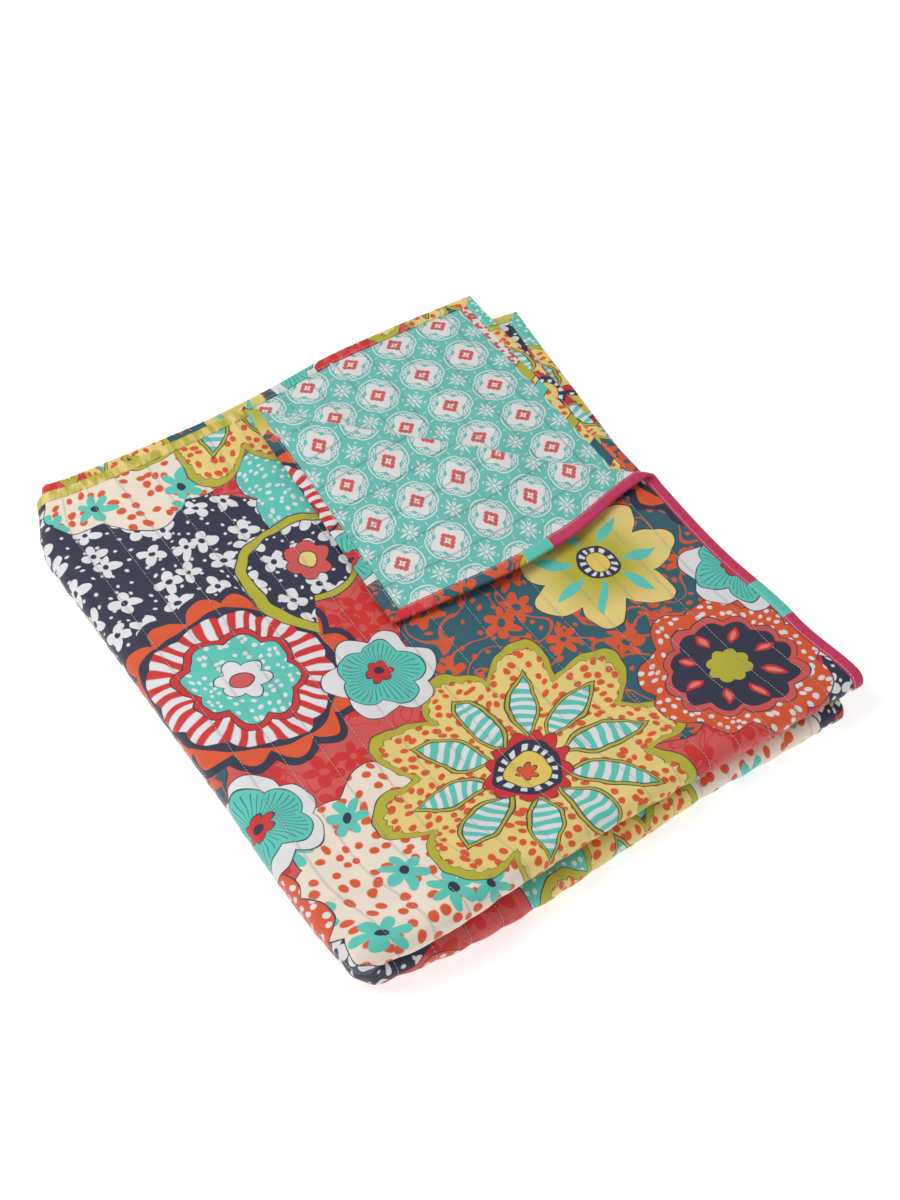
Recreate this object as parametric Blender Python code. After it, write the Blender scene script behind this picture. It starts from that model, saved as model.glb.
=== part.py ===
"""Quilted bedspread, folded in quarters, with one corner of its top layer turned back.

Every piece is first modelled flat, in the quilt's own coordinates: s across the quilt, r along it and w
through it, with the printed face at +w. It is then folded by laid_point, which gives each point its place
in the stack. The first fold is at r = 0 and makes the near rolls. The second is at s = 0, and makes the spine.
Upper layers have s > 0, outer layers have r > 0:
    upper outer, upper inner, lower inner and lower outer lie on each other from the top down.
In the stack, u runs from the spine to the bound side and v from the near rolls to the far ends.
"""

import math

import bmesh
import bpy
from mathutils import Vector

# The quilt, flat
HALF_WIDTH = 0.665
HALF_LENGTH = 0.765
PITCH = 0.041

# Half of the quilt's thickness
PUFF = 0.0037
STITCH = 0.0022
HEM = 0.0015
HEM_RISE = 0.022

# The plane between face and reverse, and the gap that touching pieces keep
SPLIT = -0.0008
GAP = 0.0003

# Binding
BINDING_WIDTH = 0.015
BINDING_CLOTH = 0.0008
BINDING_ROOM = 0.0012
HEM_SHOWN = 0.003
HEM_START = BINDING_WIDTH + HEM_SHOWN

# Seams on each side of the middle one
SEAMS = int((HALF_WIDTH - HEM_START) / PITCH - 0.5)

# The stack: half the distance between the two layers of a pair, and the free space between the pairs
LAYER_HALF_GAP = 0.0050
PAIR_GAP_SPINE = 0.010
PAIR_GAP_SIDE = 0.002
PAIR_GAP_FADE = 0.25
ROLL_FADE = 0.10
SHOULDER_U = 0.10
MIDDLE_U = 0.30
SIDE_U = 0.62

# Height of the stack: place along v, then at the spine, at its shoulder, in the middle and at the bound side
HEIGHTS = (
    (0.00, 0.080, 0.088, 0.074, 0.066),
    (0.20, 0.072, 0.076, 0.058, 0.052),
    (0.45, 0.062, 0.066, 0.050, 0.046),
    (0.78, 0.045, 0.057, 0.050, 0.044),
)
AT_SPINE = 1
AT_SHOULDER = 2
AT_MIDDLE = 3
AT_SIDE = 4

# The spine isn't straight: place along v, then how far out it lies in u. Its far end is tucked in
SPINE_LINE = (
    (0.00, -0.011),
    (0.10, -0.020),
    (0.30, -0.021),
    (0.45, -0.024),
    (0.60, -0.027),
    (0.70, -0.031),
    (0.78, -0.033),
)
TUCK = 0.041
TUCK_FROM = 0.665
TUCK_RUN = 0.13
TUCK_WIDTH = 0.14

# Nor are the near rolls: place across the quilt, then how far out the upper and the lower roll lie in v
NEAR_LINE = (
    (0.00, 0.006, 0.007),
    (0.05, -0.004, -0.001),
    (0.12, -0.014, -0.009),
    (0.25, -0.019, -0.008),
    (0.44, -0.001, 0.012),
    (0.57, 0.003, 0.006),
    (0.70, 0.003, 0.002),
)

# Place across the quilt, then how much further in the upper and the lower near roll lie at the roll itself
NEAR_RECESS = (
    (0.00, 0.000, 0.000),
    (0.06, 0.000, -0.003),
    (0.12, 0.006, -0.004),
    (0.20, 0.019, -0.004),
    (0.30, 0.022, -0.005),
    (0.38, 0.014, -0.010),
    (0.46, 0.008, -0.011),
    (0.57, 0.005, -0.006),
    (0.70, 0.004, -0.002),
)
RECESS_FADE = 0.30

UPPER_ROLL = 1
LOWER_ROLL = 2

# How far each layer's edges lie past where an even fold would leave them: at the bound side near the roll,
# at the bound side far from it, at the far end by the spine, and at the far end's other end
EDGE_SHIFTS = {
    "upper_outer": (0.000, 0.022, -0.002, 0.008),
    "upper_inner": (0.004, -0.008, 0.019, -0.001),
    "lower_inner": (-0.006, 0.036, 0.014, -0.044),
    "lower_outer": (-0.042, 0.002, -0.002, 0.004),
}
SHIFT_BLEND = 0.30

# The upper layers' bound side also bulges: how far out, its middle along the quilt and its reach
BULGE = 0.015
BULGE_MIDDLE = 0.13
BULGE_REACH = 0.10

# The corner that is turned back: where its fold leaves the far end and the bound side, and the fold's size
FLAP_END_S = 0.290
FLAP_SIDE_R = 0.366
FLAP_EASE = 1.05
FLAP_BOW = 0.018
BOW_DEPTH = 0.16
FLAP_SLIDE = 0.024
SLIDE_FADE = 0.12
SLIDE_ENDS = 0.22
FLAP_LIFT = 0.007
FLAP_LIFT_LEAN = 0.55
FLAP_ROLL = 0.0062
FLAP_LIE = 2.0 * PUFF + 0.0022
FLAP_SETTLE = 0.09
FLAP_TURN_CUTS = 5

# From the stack's u and v to the part's x and y, whose origin is under the middle of the stack
ORIGIN_SHIFT = Vector((-0.3205, -0.3820, 0.0))

# Where the pieces are divided
ROLL_ROWS = (0.0, 0.009, 0.018, 0.030, 0.060)
LAYER_ROWS = (0.16, 0.36, 0.56, 0.66)
SPINE_REACH = 1.3 * PITCH
PRESSED_FROM_S = 0.035
PRESSED_BLEND_S = 0.03
PRESSED_FROM_R = 0.02
PRESSED_BLEND_R = 0.025
CUT_SNAP = 0.0001
STEP = 0.0005

# Colours, as red, green, blue
PRINT_COLOUR = (0.75, 0.42, 0.20)
REVERSE_COLOUR = (0.12, 0.55, 0.42)
BINDING_COLOUR = (0.60, 0.05, 0.16)


def ease(x):
    """Goes from 0 to 1 with level ends."""
    x = min(max(x, 0.0), 1.0)
    return x * x * (3.0 - 2.0 * x)


def mix(a, b, share):
    return a + (b - a) * share


def read_rows(rows, place, column):
    """Reads one column of a table at a place between its rows, on a smooth curve through them."""
    place = min(max(place, rows[0][0]), rows[-1][0])
    index = 0
    while place > rows[index + 1][0]:
        index += 1
    low, high = rows[index], rows[index + 1]

    def slope(at):
        before = rows[max(at - 1, 0)]
        after = rows[min(at + 1, len(rows) - 1)]
        return (after[column] - before[column]) / (after[0] - before[0])

    span = high[0] - low[0]
    x = (place - low[0]) / span
    bulge = slope(index) * (1.0 - x) - slope(index + 1) * x
    return mix(low[column], high[column], ease(x)) + span * x * (1.0 - x) * bulge


def stack_height(u, v):
    """The height of the whole stack over a point of its plan."""
    spine = read_rows(HEIGHTS, v, AT_SPINE)
    shoulder = read_rows(HEIGHTS, v, AT_SHOULDER)
    middle = read_rows(HEIGHTS, v, AT_MIDDLE)
    side = read_rows(HEIGHTS, v, AT_SIDE)
    level_from = read_rows(SPINE_LINE, v, 1) + spine / 2.0
    height = mix(spine, shoulder, ease((u - level_from) / (SHOULDER_U - level_from)))
    height += (middle - shoulder) * ease((u - SHOULDER_U) / (MIDDLE_U - SHOULDER_U))
    return height + (side - middle) * ease((u - MIDDLE_U) / (SIDE_U - MIDDLE_U))


def near_roll(s):
    """The radius, at the quilt's middle surface, of the roll that joins the two layers of a pair."""
    across = abs(s)
    room = mix(PAIR_GAP_SPINE, PAIR_GAP_SIDE, ease((across - SPINE_REACH) / PAIR_GAP_FADE))
    return (stack_height(across, 0.0) - 4.0 * PUFF - room) / 4.0


def edge_shift(s, r):
    """How far the rolls' and the layers' unevenness moves a point in plan."""
    upper = ease(s / SHIFT_BLEND + 0.5)
    outer = ease(r / SHIFT_BLEND + 0.5)
    across = (abs(s) / HALF_WIDTH) ** 2
    along = (abs(r) / HALF_LENGTH) ** 2
    shift_u = 0.0
    shift_v = 0.0
    for name, (side_near, side_far, end_spine, end_side) in EDGE_SHIFTS.items():
        share = (upper if "upper" in name else 1.0 - upper) * (outer if "outer" in name else 1.0 - outer)
        shift_u += share * across * mix(side_near, side_far, along)
        shift_v += share * along * mix(end_spine, end_side, across)
    bulge = BULGE * math.exp(-(((abs(r) - BULGE_MIDDLE) / BULGE_REACH) ** 2))
    shift_u += upper * across * bulge
    for table, share in ((NEAR_LINE, 1.0), (NEAR_RECESS, 1.0 - ease(abs(r) / RECESS_FADE))):
        lower_roll = read_rows(table, abs(s), LOWER_ROLL)
        shift_v += share * mix(lower_roll, read_rows(table, abs(s), UPPER_ROLL), upper)
    return shift_u, shift_v


def folded_point(s, r):
    """A point of the quilt's middle surface in the stack, before the corner is turned back."""
    roll = near_roll(s)
    quarter = roll * math.pi / 2.0
    if abs(r) < quarter:
        v = roll * (1.0 - math.cos(r / roll))
        offset = roll * math.sin(r / roll)
        half = roll
    else:
        past = abs(r) - quarter
        v = roll + past
        half = mix(roll, LAYER_HALF_GAP, ease(past / ROLL_FADE))
        offset = math.copysign(half, r)
    bend = read_rows(HEIGHTS, v, AT_SPINE) / 2.0
    centre = read_rows(SPINE_LINE, v, 1) + bend
    radius = bend - half - PUFF
    if abs(s) < radius * math.pi / 2.0:
        angle = s / radius
        u = centre - (radius + offset) * math.cos(angle)
        z = bend + (radius + offset) * math.sin(angle)
    else:
        u = centre + abs(s) - radius * math.pi / 2.0
        if s > 0.0:
            z = stack_height(u, v) - PUFF - half + offset
        else:
            z = PUFF + half - offset
    shift_u, shift_v = edge_shift(s, r)
    shift_u += TUCK * ease((v + shift_v - TUCK_FROM) / TUCK_RUN) * (1.0 - ease(abs(s) / TUCK_WIDTH))
    return Vector((u + shift_u, v + shift_v, z))


def flap_line():
    """The turned corner's fold: its start and its direction to the corner, on the quilt and in plan."""
    start = Vector((FLAP_END_S, HALF_LENGTH))
    stop = Vector((HALF_WIDTH, FLAP_SIDE_R))
    out_flat = Vector((start.y - stop.y, stop.x - start.x)).normalized()
    start_plan = folded_point(start.x, start.y)
    stop_plan = folded_point(stop.x, stop.y)
    out_plan = Vector((start_plan.y - stop_plan.y, stop_plan.x - start_plan.x)).normalized()
    return start, out_flat, out_plan


FLAP_START, FLAP_OUT_FLAT, FLAP_OUT_PLAN = flap_line()


def flap_slide(s, r, past):
    """How far the turned corner and the cloth near its fold slide towards the near rolls."""
    run = (FLAP_END_S - HALF_WIDTH) ** 2 + (FLAP_SIDE_R - HALF_LENGTH) ** 2
    off = Vector((s, r)) - FLAP_START
    along = (off.x * FLAP_OUT_FLAT.y - off.y * FLAP_OUT_FLAT.x) / math.sqrt(run)
    ends = ease(along / SLIDE_ENDS) * ease((1.0 - along) / SLIDE_ENDS)
    return FLAP_SLIDE * ends * ease(past / SLIDE_FADE / 2.0 + 0.5)


def surface_point(s, r):
    """A point of the quilt's middle surface in the finished stack."""
    past = (Vector((s, r)) - FLAP_START).dot(FLAP_OUT_FLAT)
    slide = flap_slide(s, r, past)
    if past <= 0.0:
        flat = folded_point(s, r)
        rise = stack_height(flat.x, flat.y - slide) - stack_height(flat.x, flat.y)
        return flat + Vector((0.0, -slide, rise))
    turn = FLAP_ROLL * math.pi
    foot = folded_point(s - FLAP_OUT_FLAT.x * past, r - FLAP_OUT_FLAT.y * past)
    if past < turn:
        reach = FLAP_ROLL * math.sin(past / FLAP_ROLL)
        lift = FLAP_ROLL * (1.0 - math.cos(past / FLAP_ROLL))
    else:
        reach = (turn - past) * FLAP_EASE
        lift = mix(2.0 * FLAP_ROLL, FLAP_LIE, ease(-reach / FLAP_SETTLE))
    u = foot.x + FLAP_OUT_PLAN.x * reach
    v = foot.y + FLAP_OUT_PLAN.y * reach - slide
    along_edge = min(max((r - FLAP_SIDE_R) / (HALF_LENGTH - FLAP_SIDE_R), 0.0), 1.0)
    near_edge = ease(1.0 - (HALF_WIDTH - s) / BOW_DEPTH) * ease((past - turn) / BOW_DEPTH)
    v -= FLAP_BOW * near_edge * math.sin(math.pi * along_edge)
    lift += FLAP_LIFT * near_edge * math.sin(math.pi * along_edge**FLAP_LIFT_LEAN)
    return Vector((u, v, stack_height(u, v) - PUFF + lift))


def smooth_point(s, r, w):
    """A point of the quilt, w above its middle surface on the printed side, in the finished stack."""
    across = surface_point(s + STEP, r) - surface_point(s - STEP, r)
    along = surface_point(s, r + STEP) - surface_point(s, r - STEP)
    return surface_point(s, r) + across.cross(along).normalized() * w


def laid_point(s, r, w):
    """As smooth_point, with the turned corner's fold in flat facets, so that nested pieces stay apart."""
    past = (Vector((s, r)) - FLAP_START).dot(FLAP_OUT_FLAT)
    facet = FLAP_ROLL * math.pi / FLAP_TURN_CUTS
    if past <= 0.0 or past >= facet * FLAP_TURN_CUTS:
        return smooth_point(s, r, w)
    share = past / facet % 1.0
    back = FLAP_OUT_FLAT * (-share * facet)
    on = FLAP_OUT_FLAT * ((1.0 - share) * facet)
    here = smooth_point(s + back.x, r + back.y, w)
    return here.lerp(smooth_point(s + on.x, r + on.y, w), share)


def half_thickness(s, r):
    """Half of the quilt's thickness: full between seams, drawn in at a seam and thin under the binding."""
    channel = PUFF
    if abs(s) < (SEAMS + 0.5) * PITCH:
        channel = mix(STITCH, PUFF, abs(math.sin(math.pi * s / PITCH)))
    inside = min(HALF_WIDTH - abs(s), HALF_LENGTH - abs(r)) - HEM_START
    return mix(HEM, channel, ease(inside / HEM_RISE))


def face_half(s, r):
    """As half_thickness, on the printed side. Its own weight presses the quilt flat where it lies."""
    pressed = ease((-s - PRESSED_FROM_S) / PRESSED_BLEND_S) * ease((r - PRESSED_FROM_R) / PRESSED_BLEND_R)
    inside = min(HALF_WIDTH - abs(s), HALF_LENGTH - abs(r)) - HEM_START
    return mix(half_thickness(s, r), mix(HEM, PUFF, ease(inside / HEM_RISE)), pressed)


def columns():
    """The places across the quilt where the pieces are divided: seams, crests, and closer at the spine."""
    places = []
    outermost = 4 * SEAMS + 2
    for index in range(-outermost, outermost + 1):
        s = index * PITCH / 4.0
        if index % 2 == 0 or abs(s) < SPINE_REACH:
            places.append(s)
    edge = HALF_WIDTH - BINDING_CLOTH - BINDING_ROOM
    return [-edge, HEM_START - HALF_WIDTH] + places + [HALF_WIDTH - HEM_START, edge]


def rows():
    """The places along the quilt where the pieces are divided."""
    half = list(ROLL_ROWS) + list(LAYER_ROWS)
    half += [HALF_LENGTH - HEM_START, HALF_LENGTH - BINDING_CLOTH - BINDING_ROOM]
    return [-r for r in reversed(half[1:])] + half


def cut_flap(mesh):
    """Divides a flat piece along the turned corner's fold, so that it can bend there."""
    normal = Vector((FLAP_OUT_FLAT.x, FLAP_OUT_FLAT.y, 0.0))
    start = Vector((FLAP_START.x, FLAP_START.y, 0.0))
    for index in range(FLAP_TURN_CUTS + 1):
        place = start + normal * (FLAP_ROLL * math.pi * index / FLAP_TURN_CUTS)
        parts = mesh.verts[:] + mesh.edges[:] + mesh.faces[:]
        bmesh.ops.bisect_plane(mesh, geom=parts, dist=CUT_SNAP, plane_co=place, plane_no=normal)


def flat_panel():
    """The quilt as a flat net of triangles, with the panels' divisions."""
    across = columns()
    along = rows()
    net = bmesh.new()
    bmesh.ops.create_grid(net, x_segments=len(across) - 1, y_segments=len(along) - 1, size=1.0)
    for vert in net.verts:
        column = round((vert.co.x + 1.0) / 2.0 * (len(across) - 1))
        row = round((vert.co.y + 1.0) / 2.0 * (len(along) - 1))
        vert.co = (across[column], along[row], 0.0)
    cut_flap(net)
    bmesh.ops.triangulate(net, faces=net.faces[:], quad_method="FIXED")
    return net


def lay(mesh):
    """Moves a flat piece's points to their places in the folded part."""
    for vert in mesh.verts:
        s, r, w = vert.co
        vert.co = laid_point(s, r, w) + ORIGIN_SHIFT


def panel(low, high):
    """One of the two panels: the flat net given a thickness between two surfaces, then laid."""
    net = flat_panel()
    grown = bmesh.ops.extrude_face_region(net, geom=net.faces[:])
    upper = {item for item in grown["geom"] if isinstance(item, bmesh.types.BMVert)}
    for vert in net.verts:
        s, r, _ = vert.co
        vert.co.z = high(s, r) if vert in upper else low(s, r)
    bmesh.ops.triangulate(net, faces=net.faces[:], quad_method="FIXED")
    bmesh.ops.recalc_face_normals(net, faces=net.faces[:])
    lay(net)
    return net


def binding_section():
    """The binding's section round the hem: distance in from the edge, then w."""
    inner = HEM + GAP
    outer = inner + BINDING_CLOTH
    return (
        (BINDING_WIDTH, inner),
        (BINDING_WIDTH, outer),
        (0.0, outer),
        (0.0, -outer),
        (BINDING_WIDTH, -outer),
        (BINDING_WIDTH, -inner),
        (BINDING_CLOTH, -inner),
        (BINDING_CLOTH, inner),
    )


def binding(places, half_run, point):
    """A strip folded over one edge, mitred at both ends. point turns (along, inward, w) into a flat place."""
    strip = bmesh.new()
    section = binding_section()
    rings = []
    for along in [-half_run] + places[1:-1] + [half_run]:
        ring = []
        for inward, w in section:
            end = half_run - inward - GAP / 2.0
            ring.append(strip.verts.new(point(min(max(along, -end), end), inward, w)))
        rings.append(ring)
    for near, far in zip(rings, rings[1:]):
        for index in range(len(section)):
            after = (index + 1) % len(section)
            strip.faces.new((near[index], near[after], far[after], far[index]))
    strip.faces.new(rings[0])
    strip.faces.new(rings[-1])
    cut_flap(strip)
    bmesh.ops.triangulate(strip, faces=strip.faces[:], quad_method="FIXED", ngon_method="EAR_CLIP")
    bmesh.ops.recalc_face_normals(strip, faces=strip.faces[:])
    lay(strip)
    return strip


def side_binding(sign):
    """The binding of the upper layers' bound side, or of the lower layers'."""
    return binding(rows(), HALF_LENGTH, lambda along, inward, w: (sign * (HALF_WIDTH - inward), along, w))


def end_binding(sign):
    """The binding of the outer layers' far end, or of the inner layers'."""
    return binding(columns(), HALF_WIDTH, lambda along, inward, w: (along, sign * (HALF_LENGTH - inward), w))


def material(name, colour):
    cloth = bpy.data.materials.new(name)
    cloth.use_nodes = True
    shader = cloth.node_tree.nodes["Principled BSDF"]
    shader.inputs["Base Color"].default_value = (*colour, 1.0)
    shader.inputs["Roughness"].default_value = 0.85
    shader.inputs["Metallic"].default_value = 0.0
    return cloth


def piece(name, mesh, cloth):
    """Makes one object of a finished mesh."""
    data = bpy.data.meshes.new(name)
    mesh.to_mesh(data)
    mesh.free()
    data.shade_smooth()
    data.set_sharp_from_angle(angle=math.radians(50.0))
    data.materials.append(cloth)
    item = bpy.data.objects.new(name, data)
    bpy.context.scene.collection.objects.link(item)


def build():
    for item in list(bpy.data.objects):
        bpy.data.objects.remove(item)
    printed = material("printed_cotton", PRINT_COLOUR)
    reverse = material("reverse_cotton", REVERSE_COLOUR)
    bound = material("binding_cotton", BINDING_COLOUR)
    face_low = SPLIT + GAP / 2.0
    reverse_high = SPLIT - GAP / 2.0
    piece("face_panel", panel(lambda s, r: face_low, face_half), printed)
    piece("reverse_panel", panel(lambda s, r: -half_thickness(s, r), lambda s, r: reverse_high), reverse)
    piece("binding_upper_side", side_binding(1.0), bound)
    piece("binding_lower_side", side_binding(-1.0), bound)
    piece("binding_outer_end", end_binding(1.0), bound)
    piece("binding_inner_end", end_binding(-1.0), bound)


build()
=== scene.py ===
"""The looks of the quilted bedspread: folded in quarters, one corner of its top layer turned back.

Each cloth is made flat, in the quilt's own coordinates, and then folded, as the part's solids are: s
across the quilt, r along it and w through it, with the printed face at +w. The first fold, at r = 0,
makes the near rolls, and the second, at s = 0, makes the spine. In the stack, u runs from the spine to
the bound side and v from the near rolls to the far ends. The patterns are drawn by the materials in the
cloth's own s and r.
"""

import math

import bmesh
import bpy
import numpy as np
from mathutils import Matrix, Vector

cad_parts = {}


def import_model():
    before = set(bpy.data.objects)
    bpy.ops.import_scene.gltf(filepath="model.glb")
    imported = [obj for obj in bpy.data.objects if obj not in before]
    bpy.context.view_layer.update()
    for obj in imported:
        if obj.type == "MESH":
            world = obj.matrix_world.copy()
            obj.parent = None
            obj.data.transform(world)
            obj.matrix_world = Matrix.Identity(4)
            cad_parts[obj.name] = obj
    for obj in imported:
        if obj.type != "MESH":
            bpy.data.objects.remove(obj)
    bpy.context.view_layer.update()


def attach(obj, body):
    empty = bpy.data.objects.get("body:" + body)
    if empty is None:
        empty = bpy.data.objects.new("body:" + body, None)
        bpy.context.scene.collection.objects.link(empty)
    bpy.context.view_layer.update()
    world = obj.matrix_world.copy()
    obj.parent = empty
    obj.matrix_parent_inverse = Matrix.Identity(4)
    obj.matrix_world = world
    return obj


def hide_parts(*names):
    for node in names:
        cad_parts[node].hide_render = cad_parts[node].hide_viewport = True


# The quilt, flat, and its fold: the part's own sizes
HALF_WIDTH = 0.665
HALF_LENGTH = 0.765
PITCH = 0.041
PUFF = 0.0037
STITCH = 0.0022
HEM = 0.0015
HEM_RISE = 0.022
SPLIT = -0.0008
GAP = 0.0003
BINDING_WIDTH = 0.015
BINDING_CLOTH = 0.0008
BINDING_ROOM = 0.0012
HEM_START = 0.018
SEAMS = 15
LAYER_HALF_GAP = 0.0050
PAIR_GAP_SPINE = 0.010
PAIR_GAP_SIDE = 0.002
PAIR_GAP_FADE = 0.25
ROLL_FADE = 0.10
SHOULDER_U = 0.10
MIDDLE_U = 0.30
SIDE_U = 0.62
SPINE_REACH = 1.3 * PITCH
PRESSED_FROM_S = 0.035
PRESSED_BLEND_S = 0.03
PRESSED_FROM_R = 0.02
PRESSED_BLEND_R = 0.025

# Height of the stack: place along v, then at the spine, at its shoulder, in the middle and at the
# bound side
HEIGHTS = (
    (0.00, 0.080, 0.088, 0.074, 0.066),
    (0.20, 0.072, 0.076, 0.058, 0.052),
    (0.45, 0.062, 0.066, 0.050, 0.046),
    (0.78, 0.045, 0.057, 0.050, 0.044),
)
AT_SPINE = 1
AT_SHOULDER = 2
AT_MIDDLE = 3
AT_SIDE = 4

# Place along v, then how far out the spine lies in u. Its far end is tucked in
SPINE_LINE = (
    (0.00, -0.011),
    (0.10, -0.020),
    (0.30, -0.021),
    (0.45, -0.024),
    (0.60, -0.027),
    (0.70, -0.031),
    (0.78, -0.033),
)
TUCK = 0.041
TUCK_FROM = 0.665
TUCK_RUN = 0.13
TUCK_WIDTH = 0.14

# Place across the quilt, then how far out the upper and the lower near roll lie in v
NEAR_LINE = (
    (0.00, 0.006, 0.007),
    (0.05, -0.004, -0.001),
    (0.12, -0.014, -0.009),
    (0.25, -0.019, -0.008),
    (0.44, -0.001, 0.012),
    (0.57, 0.003, 0.006),
    (0.70, 0.003, 0.002),
)

# Place across the quilt, then how much further in the upper and the lower near roll lie at the roll itself
NEAR_RECESS = (
    (0.00, 0.000, 0.000),
    (0.06, 0.000, -0.003),
    (0.12, 0.006, -0.004),
    (0.20, 0.019, -0.004),
    (0.30, 0.022, -0.005),
    (0.38, 0.014, -0.010),
    (0.46, 0.008, -0.011),
    (0.57, 0.005, -0.006),
    (0.70, 0.004, -0.002),
)
RECESS_FADE = 0.30

UPPER_ROLL = 1
LOWER_ROLL = 2

# How far each layer's edges lie past where an even fold would leave them: whether the layer is upper and
# outer, then at the bound side near the roll and far from it, and at the far end by the spine and away
# from it
EDGE_SHIFTS = (
    (True, True, 0.000, 0.022, -0.002, 0.008),
    (True, False, 0.004, -0.008, 0.019, -0.001),
    (False, False, -0.006, 0.036, 0.014, -0.044),
    (False, True, -0.042, 0.002, -0.002, 0.004),
)
SHIFT_BLEND = 0.30

# The upper layers' bound side also bulges: how far out, its middle along the quilt and its reach
BULGE = 0.015
BULGE_MIDDLE = 0.13
BULGE_REACH = 0.10

# The corner that is turned back. Its line is bowed, the cloth past it slides toward the front in the line's
# middle, and the edge beside the mouth stands up. It lies a little over the layer that it lies on.
FLAP_END_S = 0.290
FLAP_SIDE_R = 0.366
FLAP_EASE = 1.05
FLAP_BOW = 0.018
BOW_DEPTH = 0.16
FLAP_SLIDE = 0.024
SLIDE_FADE = 0.12
SLIDE_ENDS = 0.22
FLAP_LIFT = 0.014
FLAP_LIFT_LEAN = 0.55
FLAP_ROLL = 0.0062
FLAP_LIE = 2.0 * PUFF + 0.0022
FLAP_SETTLE = 0.09

# From the stack's u and v to the frame's x and y
ORIGIN_SHIFT = np.array((-0.3205, -0.3820, 0.0))

# How finely the cloths are divided: cells in a channel, rows, and cuts in the turned corner's fold. Then
# the step that slopes are measured over, and the angle from which an edge is drawn sharp
CHANNEL_CELLS = 10
ROW_PITCH = 0.0054
ROLL_ROW_PITCH = 0.0036
ROLL_ROWS_REACH = 0.062
CORE_ROLL_ROWS = (0.0, 0.009, 0.018, 0.030, 0.045)
CORE_ROW_COUNT = 24
FLAP_CUTS = 9
CORE_FLAP_CUTS = 5
CUT_SNAP = 0.0001
STEP = 0.0005
SHARP_ANGLE = math.radians(60.0)

# Soft unevenness of the stack: height, how it turns with u and v, and its start
RIPPLES = (
    (0.0010, 21.0, 13.0, 0.4),
    (0.0008, -17.0, 29.0, 1.9),
    (0.0006, 33.0, -22.0, 4.1),
    (0.0004, 52.0, 37.0, 2.7),
)
RIPPLE_FADE = 0.14

# Puckers that the seams' threads draw: height, turns along the seam, and how the start changes by seam
PUCKERS = (
    (0.00042, 250.0, 2.40),
    (0.00032, 171.0, 4.13),
    (0.00024, 333.0, 1.07),
)
PUCKER_REACH = 0.011
PUCKER_SLANT = 60.0

# Stitches
STITCH_PITCH = 0.0042
STITCH_LENGTH = 0.0038
STITCH_HALF_WIDTH = 0.00024
STITCH_RISE = 0.00030
TAPE_STITCH_INSET = 0.0024

# Binding
BINDING_RING_PITCH = 0.0021
BINDING_EDGE_ROUND = 0.0021
BINDING_WRINKLES = (
    (0.00030, 520.0, 0.3),
    (0.00022, 823.0, 2.2),
    (0.00026, 287.0, 5.0),
)
BINDING_WRINKLE_SLANT = 90.0
SIDE_WRINKLE = 0.7
END_WRINKLE = 1.7

# Small waves in the quilt beside its bindings: height, turns along the edge and reach
HEM_WAVES = (
    (0.00045, 331.0, 0.0),
    (0.00035, 214.0, 1.7),
)
HEM_WAVE_REACH = 0.016
HEM_WAVE_MIDDLE = 0.6
HEM_WAVE_SHARPNESS = 2.0

# The gather where the two folds cross, at the quilt's middle: height, folds round it, twist and reach
GATHER_HEIGHT = 0.0016
GATHER_FOLDS = 7.0
GATHER_TWIST = 40.0
GATHER_REACH = 0.055

# Camera, for an image of 900 by 1200
CAMERA_PITCH = 0.93983
CAMERA_TURN = -0.57572
CAMERA_DISTANCE = 2.8364
CAMERA_TARGET = Vector((0.0321, 0.0050, 0.0))
CAMERA_LENS = 72.0

# The floor reads as white paper, partly by a light of its own
FLOOR_SIZE = 14.0
FLOOR_HEIGHT = -0.0010
FLOOR_TINT = 0.62
FLOOR_GLOW = 0.66

# The light from all round, and the lamps: name, place, width and power
SKY_GLOW = 0.36
LAMPS = (
    ("key", (-1.3, 0.7, 2.4), 1.5, 40.0),
    ("fill", (1.6, -2.2, 1.9), 2.4, 11.0),
    ("back", (1.2, 2.4, 2.0), 2.0, 8.0),
)


def ease(x):
    """Goes from 0 to 1 with level ends."""
    x = np.clip(x, 0.0, 1.0)
    return x * x * (3.0 - 2.0 * x)


def mix(a, b, share):
    return a + (b - a) * share


def read_rows(rows, place, column):
    """Reads one column of a table at places between its rows, on a smooth curve through them."""
    table = np.array(rows)
    stops = table[:, 0]
    values = table[:, column]
    last = len(stops) - 1
    place = np.clip(place, stops[0], stops[-1])
    index = np.clip(np.searchsorted(stops, place) - 1, 0, last - 1)
    before = np.maximum(np.arange(last + 1) - 1, 0)
    after = np.minimum(np.arange(last + 1) + 1, last)
    slopes = (values[after] - values[before]) / (stops[after] - stops[before])
    span = stops[index + 1] - stops[index]
    x = (place - stops[index]) / span
    bulge = slopes[index] * (1.0 - x) - slopes[index + 1] * x
    return mix(values[index], values[index + 1], ease(x)) + span * x * (1.0 - x) * bulge


def ripple(u, v):
    """The soft unevenness of the stack's top, nothing at the near rolls and the spine."""
    total = 0.0
    for height, by_u, by_v, start in RIPPLES:
        total = total + height * np.sin(by_u * u + by_v * v + start)
    return total * ease(v / RIPPLE_FADE) * ease(u / RIPPLE_FADE)


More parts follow.
